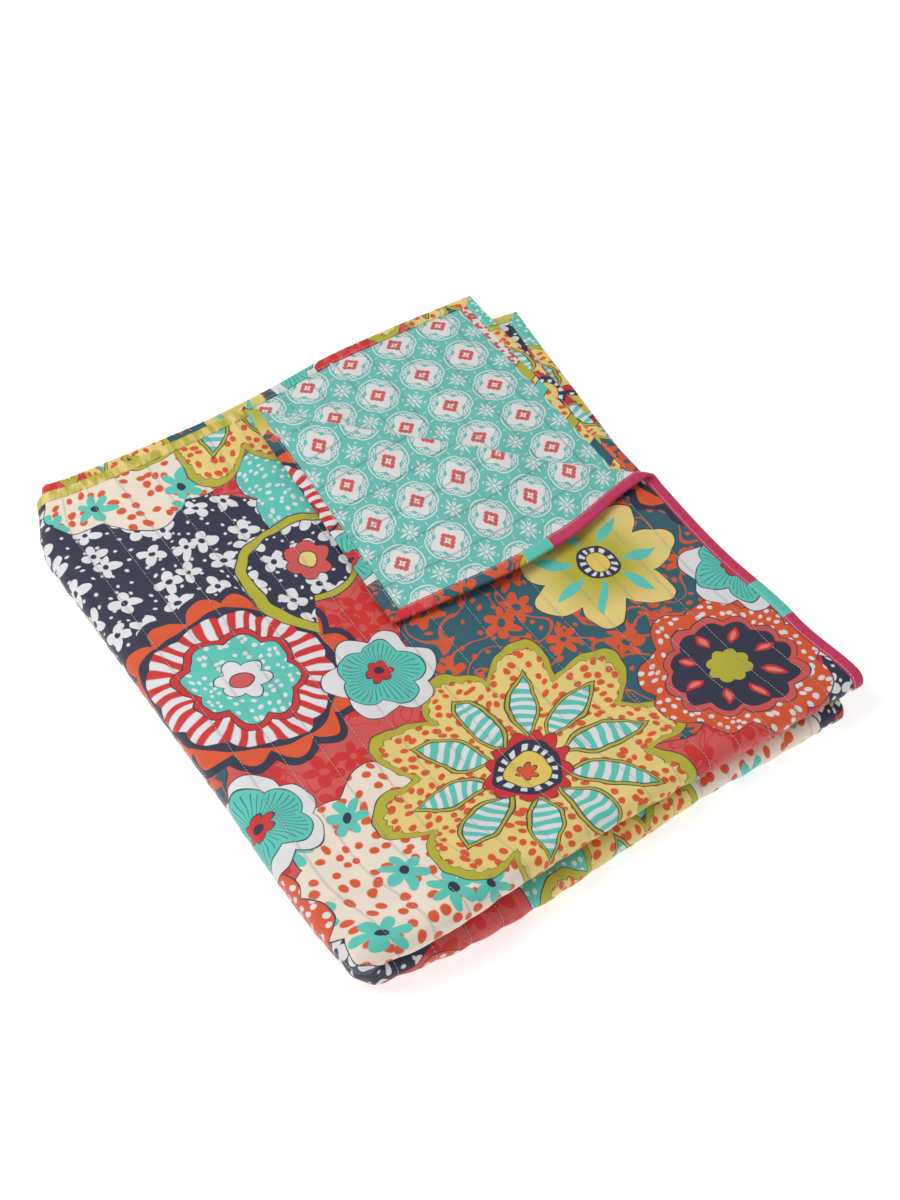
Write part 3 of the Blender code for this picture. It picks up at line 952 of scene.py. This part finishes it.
def weave(cloth, place, base, height, reach, valley_shade):
    """The cloth's surface: uneven colour, painted shade darkening the colour in the seams' valleys, fine
    puckers beside the seams, and the weave.
    """
    across, along = cloth.parts(place)
    inputs = {"Vector": place, "Scale": UNEVEN_SCALE}
    uneven = cloth.node("ShaderNodeTexNoise", {"noise_dimensions": "2D"}, inputs)
    seam = cloth.math("MULTIPLY_ADD", cloth.math("COSINE", across * (2.0 * math.pi / PITCH)), 0.5, 0.5)
    # Painted shade: the base colour is darkened along each seam's valley, where shade falls.
    shaded = cloth.math("POWER", seam, SEAM_SHARPNESS) * valley_shade
    value = cloth.math("MULTIPLY_ADD", uneven, 0.16, 0.92) - shaded
    shade = cloth.node("ShaderNodeHueSaturation", {}, {"Value": value, "Color": base})
    cloth.feed(cloth.shader.inputs["Base Color"], shade)
    beside = cloth.math("POWER", seam, reach)
    drawn = cloth.node(
        "ShaderNodeTexNoise",
        {"noise_dimensions": "2D"},
        {"Vector": cloth.vector("MULTIPLY", place, PUCKER_STRETCH), "Scale": PUCKER_SCALE, "Detail": 2.0},
    )
    threads = cloth.math("SINE", across * WEAVE_TURNS) * cloth.math("SINE", along * WEAVE_TURNS)
    total = drawn * beside * height + threads * WEAVE_HEIGHT
    inputs = {"Vector": place, "Scale": SOFT_SCALE, "Detail": 2.0}
    soft = cloth.node("ShaderNodeTexNoise", {"noise_dimensions": "2D"}, inputs)
    total = total + soft * (height * 0.5)
    bump = cloth.node("ShaderNodeBump", {}, {"Strength": 1.0, "Distance": 1.0, "Height": total})
    cloth.feed(cloth.shader.inputs["Normal"], bump)


def printed_design(cloth, place):
    """The print: fields of colour with their fillings, and large flowers and drops over them."""
    inputs = {"Vector": place, "Scale": 13.0}
    wobble = cloth.node("ShaderNodeTexNoise", {"noise_dimensions": "2D"}, inputs, 1)
    shift = cloth.vector("SUBTRACT", wobble, (0.5, 0.5, 0.5))
    drawn = cloth.vector("MULTIPLY_ADD", shift, (0.026, 0.026, 0.0), place)
    tonal = blossoms(cloth, drawn, 21.0, 0.023, 5, CORAL, RED, CORAL)
    tonal = scrolls(cloth, drawn, 17.0, 0.0, 0.024, tonal, RED)
    curled = scrolls(cloth, drawn, 12.0, 0.0, 0.024, TEAL, ORANGE)
    curled = blossoms(cloth, drawn, 17.0, 0.021, 6, curled, ORANGE, TEAL)
    curled = spots(cloth, drawn, 46.0, 0.14, curled, ORANGE)
    dotted = spots(cloth, drawn, 72.0, 0.30, CREAM, ORANGE)
    beaded = spots(cloth, drawn, 88.0, 0.24, TURQUOISE, WHITE)
    night = blossoms(cloth, drawn, 25.0, 0.017, 4, NAVY, WHITE, NAVY)
    night = spots(cloth, drawn, 60.0, 0.12, night, WHITE)
    warm = spots(cloth, drawn, 78.0, 0.25, ORANGE, WHITE)
    pale = spots(cloth, drawn, 52.0, 0.27, PALE_CREAM, ORANGE)
    pale = blossoms(cloth, drawn, 13.0, 0.024, 6, pale, TURQUOISE, NAVY)
    result = tonal

    field = Motif(cloth, drawn, (0.47, 0.26), 0.3)
    result = fill(cloth, result, curled, field.scallops(0.215, 9, 0.16))
    field = Motif(cloth, drawn, (0.07, 0.60), 0.9)
    result = fill(cloth, result, night, field.scallops(0.188, 7, 0.18))
    field = Motif(cloth, drawn, (0.14, 0.08), 0.1)
    result = fill(cloth, result, pale, field.scallops(0.15, 8, 0.14))
    field = Motif(cloth, drawn, (0.36, 0.62), 0.5)
    result = fill(cloth, result, beaded, field.scallops(0.13, 8, 0.16))

    # A great rosette of dotted petals and striped leaves
    bloom = Motif(cloth, drawn, (0.30, 0.12), 0.2)
    result = fill(cloth, result, LIME, bloom.scallops(0.182, 10, 0.26))
    frills = bloom.frilled(bloom.scallops(0.166, 10, 0.28), 90, 0.004)
    result = fill(cloth, result, dotted, frills, 0.0009)
    blade = bloom.leaves(10, 0.040, 0.100, 0.021)
    result = fill(cloth, result, LIME, blade)
    stripes = cloth.math("SINE", bloom.distance * 480.0) - 0.1
    striped = cloth.paint(WHITE, TURQUOISE, cloth.inked(stripes, 0.5))
    result = fill(cloth, result, striped, blade + 0.0045)
    result = fill(cloth, result, RED, bloom.scallops(0.052, 12, 0.2))
    result = fill(cloth, result, NAVY, bloom.circle(0.039))
    checks = cloth.paint(NAVY, WHITE, cloth.inked(bloom.rays(14, 0.1), 0.4))
    result = cloth.paint(result, checks, cloth.inked(bloom.circle(0.034)))
    result = fill(cloth, result, YELLOW, bloom.circle(0.026))
    result = fill(cloth, result, ORANGE, bloom.scallops(0.013, 6, 0.4))

    # A wheel of scallops and stripes
    wheel = Motif(cloth, drawn, (0.10, 0.40), 0.4)
    result = fill(cloth, result, NAVY, wheel.scallops(0.135, 16, 0.10))
    result = fill(cloth, result, ORANGE, wheel.scallops(0.126, 16, 0.14), 0.0)
    result = fill(cloth, result, NAVY, wheel.circle(0.104), 0.0)
    rays = cloth.paint(WHITE, RED, cloth.inked(wheel.rays(30, 0.0), 0.5))
    result = fill(cloth, result, rays, wheel.scallops(0.100, 12, 0.08))
    result = fill(cloth, result, RED, wheel.scallops(0.072, 8, 0.16))
    result = fill(cloth, result, beaded, wheel.scallops(0.063, 8, 0.16))
    result = fill(cloth, result, WHITE, wheel.scallops(0.030, 6, 0.3))
    result = fill(cloth, result, CORAL, wheel.circle(0.012))

    # A cream and lime flower with turquoise leaves
    lily = Motif(cloth, drawn, (0.53, 0.31), 1.1)
    result = fill(cloth, result, CREAM, lily.scallops(0.098, 7, 0.32))
    glow = cloth.math("MULTIPLY_ADD", lily.distance, -22.0, 1.75, clamp=True)
    petals = cloth.paint(CREAM, LIME, glow)
    result = cloth.paint(result, petals, cloth.inked(lily.scallops(0.094, 7, 0.33)))
    result = fill(cloth, result, TURQUOISE, lily.leaves(7, 0.030, 0.048, 0.0075), 0.0)
    result = fill(cloth, result, NAVY, lily.circle(0.026))
    checks = cloth.paint(NAVY, WHITE, cloth.inked(lily.rays(12, 0.1), 0.4))
    result = cloth.paint(result, checks, cloth.inked(lily.circle(0.023)))
    result = fill(cloth, result, YELLOW, lily.circle(0.015))

    # A ring of red drops on navy
    ringed = Motif(cloth, drawn, (0.56, 0.10), 2.3)
    result = fill(cloth, result, warm, ringed.scallops(0.105, 9, 0.14))
    result = fill(cloth, result, CORAL, ringed.scallops(0.078, 12, 0.12))
    result = fill(cloth, result, NAVY, ringed.scallops(0.068, 12, 0.10))
    petals = ringed.leaves(8, 0.036, 0.024, 0.007)
    result = fill(cloth, result, RED, petals, 0.0)
    result = fill(cloth, result, ROSE, petals + 0.0035, 0.0)
    result = fill(cloth, result, LIME, ringed.scallops(0.028, 8, 0.2))

    # Small turquoise flowers
    for centre, turn in (((0.235, 0.335), 0.2), ((0.40, 0.44), 1.4), ((0.02, 0.215), 0.8)):
        small = Motif(cloth, drawn, centre, turn)
        result = fill(cloth, result, WHITE, small.scallops(0.066, 6, 0.22))
        result = fill(cloth, result, TURQUOISE, small.scallops(0.052, 5, 0.26))
        veins = small.rays(40, 0.86)
        inside = cloth.inked(small.scallops(0.047, 5, 0.30))
        result = cloth.paint(result, TEAL, cloth.inked(veins, 0.3) * inside)
        result = fill(cloth, result, RED, small.scallops(0.017, 6, 0.3))
        result = fill(cloth, result, NAVY, small.circle(0.006), 0.0)

    # Drops with lime borders
    for centre, turn, ground in (((0.25, 0.52), 2.0, night), ((0.56, 0.56), 4.4, warm)):
        drop = Motif(cloth, drawn, centre, turn)
        result = fill(cloth, result, LIME, drop.comma(0.062, 0.72))
        result = fill(cloth, result, ground, drop.comma(0.053, 0.70))
        result = fill(cloth, result, CORAL, drop.scallops(0.030, 6, 0.25))
        result = fill(cloth, result, CREAM, drop.circle(0.011))
    return result


def printed_cotton():
    cloth = Cloth("printed_cotton", 0.60, 0.12)
    place = cloth.cloth_place()
    weave(cloth, place, printed_design(cloth, place), 0.0013, 3.0, 0.30)
    return cloth.material


def reverse_design(cloth, place):
    """The reverse's even lattice of medallions, with a leafy cross between each four."""
    soft = 0.012
    even = cloth.vector("MULTIPLY", cloth.vector("SUBTRACT", place, LATTICE_START), LATTICE_SCALE)
    cell = cloth.vector("WRAP", even, (0.5, 0.5, 1.0), (-0.5, -0.5, -1.0))
    across, along = cloth.parts(cell)
    away = cloth.vector("LENGTH", cell, output=1)
    angle = cloth.math("ARCTAN2", along, across)
    corner = cloth.math("ABSOLUTE", cloth.math("SINE", angle * 2.0))
    wide = cloth.math("ABSOLUTE", across)
    long = cloth.math("ABSOLUTE", along)
    far = cloth.math("MAXIMUM", wide, long)
    near = cloth.math("MINIMUM", wide, long)

    def curl(from_far, from_near, radius, half_line):
        """Distance to a small ring, repeated in the cell's eight like parts."""
        off_far = cloth.math("POWER", far - from_far, 2.0)
        off = cloth.math("SQRT", off_far + cloth.math("POWER", near - from_near, 2.0))
        return cloth.math("ABSOLUTE", off - radius) - half_line

    outline = away - (0.425 - cloth.math("POWER", corner, 14.0) * 0.040)
    result = cloth.paint(REVERSE_TEAL, WHITE, cloth.inked(outline - 0.012, soft))
    result = cloth.paint(result, REVERSE_TEAL, cloth.inked(outline + 0.014, soft))
    for place_and_size in CURLS:
        result = cloth.paint(result, WHITE, cloth.inked(curl(*place_and_size), soft))
    star = away - cloth.math("MULTIPLY_ADD", cloth.math("POWER", 1.0 - corner, 0.60), 0.150, 0.222)
    result = cloth.paint(result, REVERSE_SHADE, cloth.inked(star - 0.012, soft))
    result = cloth.paint(result, WHITE, cloth.inked(star, soft))

    # A notched red square ring, its corners along the lattice
    first = cloth.math("ABSOLUTE", across + along) * 0.7071
    second = cloth.math("ABSOLUTE", across - along) * 0.7071
    side = cloth.math("MAXIMUM", first, second)
    along_side = cloth.math("MINIMUM", first, second)
    result = cloth.paint(result, PALE_CREAM, cloth.inked(side - 0.148, 0.03))
    notch = cloth.math("ABSOLUTE", cloth.math("COSINE", along_side * 40.0))
    result = cloth.paint(result, REVERSE_RED, cloth.inked(side - 0.120 - notch * 0.018, soft))
    result = cloth.paint(result, PALE_CREAM, cloth.inked(side - 0.045 - along_side * 0.3, soft))
    result = cloth.paint(result, REVERSE_RED, cloth.inked(away - 0.016, soft))

    # A leafy cross between four medallions
    between = cloth.vector("WRAP", even, (1.0, 1.0, 1.0), (0.0, 0.0, -1.0))
    between = cloth.vector("SUBTRACT", between, CELL_MIDDLE)
    cross_across, cross_along = cloth.parts(between)
    out = cloth.vector("LENGTH", between, output=1)
    cross_angle = cloth.math("ARCTAN2", cross_along, cross_across)
    turn = cloth.math("ABSOLUTE", cloth.math("WRAP", cross_angle, *QUARTER))
    for lean, start, length, width in ((0.0, 0.03, 0.205, 0.021), (0.62, 0.05, 0.125, 0.015)):
        off = cloth.math("ABSOLUTE", turn - lean) * out
        share = cloth.math("MULTIPLY_ADD", out, 1.0 / length, -start / length, clamp=True)
        leaf = off - cloth.math("SINE", share * math.pi) * width
        leaf = cloth.math("MAXIMUM", leaf, out - start - length)
        result = cloth.paint(result, WHITE, cloth.inked(leaf, soft))
    for dot in (out - 0.034, curl(0.355, 0.340, 0.0, 0.016), curl(0.480, 0.130, 0.0, 0.014)):
        result = cloth.paint(result, WHITE, cloth.inked(dot, soft))
    return result


def reverse_cotton():
    """The reverse's cloth. Along one bound side, the print is turned over onto it."""
    cloth = Cloth("reverse_cotton", 0.64, 0.12)
    place = cloth.cloth_place()
    across, along = cloth.parts(place)
    pink = blossoms(cloth, place, 60.0, 0.009, 5, WHITE, CORAL, RED)
    warm = spots(cloth, place, 80.0, 0.27, CREAM, ORANGE)
    strip = cloth.paint(warm, pink, cloth.math("LESS_THAN", along, -0.63))
    for middle, half, tint in TURNED_BANDS:
        strip = fill(cloth, strip, tint, cloth.math("ABSOLUTE", along - middle + across * 0.6 - 0.4) - half)
    at_side = cloth.math("GREATER_THAN", across, HALF_WIDTH - TURNED_PRINT)
    inner_end = cloth.math("LESS_THAN", along, -0.3)
    design = cloth.paint(reverse_design(cloth, place), strip, at_side * inner_end)
    weave(cloth, place, design, 0.0019, 3.0, 0.38)
    return cloth.material


def side_binding():
    """Magenta tape with red spots on the top layer, and tape cut from the print on the others."""
    cloth = Cloth("side_binding", 0.62, 0.12)
    place = cloth.cloth_place()
    across, along = cloth.parts(place)
    ground = spots(cloth, place, 95.0, 0.24, MAGENTA, RED)
    for middle, half in ((0.156, 0.031), (0.575, 0.022)):
        turquoise_length = cloth.math("ABSOLUTE", along - middle) - half
        ground = cloth.paint(ground, TURQUOISE, cloth.inked(turquoise_length))
    strip = printed_design(cloth, cloth.vector("MULTIPLY_ADD", place, (1.0, 1.35, 1.0), (0.31, 0.17, 0.0)))
    upper = cloth.math("GREATER_THAN", across, 0.0)
    spotted = cloth.math("LESS_THAN", cloth.math("ABSOLUTE", along - 0.28), 0.31)
    weave(cloth, place, cloth.paint(strip, ground, upper * spotted), 0.0006, 0.0, 0.0)
    return cloth.material


def end_binding():
    """Lime tape with pale yellow streaks across it, painted highlights for the light on its crinkles, on
    the outer layers, and tape cut from the print on the inner ones.
    """
    cloth = Cloth("end_binding", 0.62, 0.12)
    place = cloth.cloth_place()
    across, along = cloth.parts(place)
    # Painted highlights: pale streaks across the lime tape, where light would catch its crinkles.
    crinkle_highlights = cloth.node(
        "ShaderNodeTexNoise",
        {"noise_dimensions": "2D"},
        {"Vector": cloth.vector("MULTIPLY", place, (1.0, 0.3, 1.0)), "Scale": 75.0, "Detail": 2.0},
    )
    ground = cloth.paint(LIME, CREAM, cloth.math("MULTIPLY_ADD", crinkle_highlights, 5.0, -2.1, clamp=True))
    strip = printed_design(cloth, cloth.vector("MULTIPLY_ADD", place, (1.35, 1.0, 1.0), (0.12, 0.29, 0.0)))
    flat_end = cloth.math("GREATER_THAN", along, 0.0) * cloth.math("LESS_THAN", across, FLAP_END_S + 0.02)
    weave(cloth, place, cloth.paint(strip, ground, flat_end), 0.0006, 0.0, 0.0)
    return cloth.material


def thread(name, tint):
    cloth = Cloth(name, 0.55, 0.2)
    cloth.shader.inputs["Base Color"].default_value = tint
    return cloth.material


def studio():
    """A pale floor, soft light from above and in front, and the camera."""
    bpy.ops.mesh.primitive_plane_add(size=FLOOR_SIZE, location=(0.0, 0.0, FLOOR_HEIGHT))
    floor = bpy.context.object
    floor.name = "floor"
    pale = bpy.data.materials.new("pale_floor")
    pale.use_nodes = True
    surface = pale.node_tree.nodes["Principled BSDF"]
    surface.inputs["Base Color"].default_value = (FLOOR_TINT, FLOOR_TINT, FLOOR_TINT, 1.0)
    surface.inputs["Roughness"].default_value = 0.9
    surface.inputs["Emission Color"].default_value = (1.0, 1.0, 1.0, 1.0)
    surface.inputs["Emission Strength"].default_value = FLOOR_GLOW
    floor.data.materials.append(pale)
    world = bpy.data.worlds.new("studio")
    world.use_nodes = True
    world.node_tree.nodes["Background"].inputs["Color"].default_value = (1.0, 1.0, 1.0, 1.0)
    world.node_tree.nodes["Background"].inputs["Strength"].default_value = SKY_GLOW
    bpy.context.scene.world = world
    for name, place, size, power in LAMPS:
        data = bpy.data.lights.new(name, "AREA")
        data.size = size
        data.energy = power
        lamp = bpy.data.objects.new(name, data)
        lamp.location = place
        lamp.rotation_mode = "QUATERNION"
        lamp.rotation_quaternion = (-Vector(place)).to_track_quat("-Z", "Y")
        bpy.context.scene.collection.objects.link(lamp)
    back = Vector(
        (
            math.sin(CAMERA_TURN) * math.cos(CAMERA_PITCH),
            -math.cos(CAMERA_TURN) * math.cos(CAMERA_PITCH),
            math.sin(CAMERA_PITCH),
        )
    )
    data = bpy.data.cameras.new("camera")
    data.sensor_width = 36.0
    data.lens = CAMERA_LENS
    camera = bpy.data.objects.new("camera", data)
    camera.location = CAMERA_TARGET + back * CAMERA_DISTANCE
    camera.rotation_mode = "QUATERNION"
    camera.rotation_quaternion = (-back).to_track_quat("-Z", "Y")
    bpy.context.scene.collection.objects.link(camera)
    bpy.context.scene.camera = camera
    bpy.context.scene.view_settings.view_transform = "Standard"


def main():
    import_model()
    bpy.ops.object.select_all(action="DESELECT")
    studio()
    printed = printed_cotton()
    reverse = reverse_cotton()
    side = side_binding()
    end = end_binding()
    white = thread("thread", WHITE)
    pale = thread("reverse_thread", REVERSE_THREAD)
    face_low = SPLIT + GAP / 2.0
    reverse_high = SPLIT - GAP / 2.0
    face = make_cloth("face_cloth", face_surface, face_low, False, printed, "face_panel")
    back = make_cloth(
        "reverse_cloth", reverse_surface, reverse_high, True, reverse, "reverse_panel"
    )
    tapes = [
        make_binding("upper_side_tape", True, 1.0, side, "binding_upper_side"),
        make_binding("lower_side_tape", True, -1.0, side, "binding_lower_side"),
        make_binding("outer_end_tape", False, 1.0, end, "binding_outer_end"),
        make_binding("inner_end_tape", False, -1.0, end, "binding_inner_end"),
    ]
    face_thread = [seam_stitches("face_stitches", face_surface, 1.0, white)]
    face_thread.append(tape_stitches("face_tape_stitches", 1.0, white))
    reverse_thread = [seam_stitches("reverse_stitches", reverse_surface, -1.0, pale)]
    reverse_thread.append(tape_stitches("reverse_tape_stitches", -1.0, white))


main()
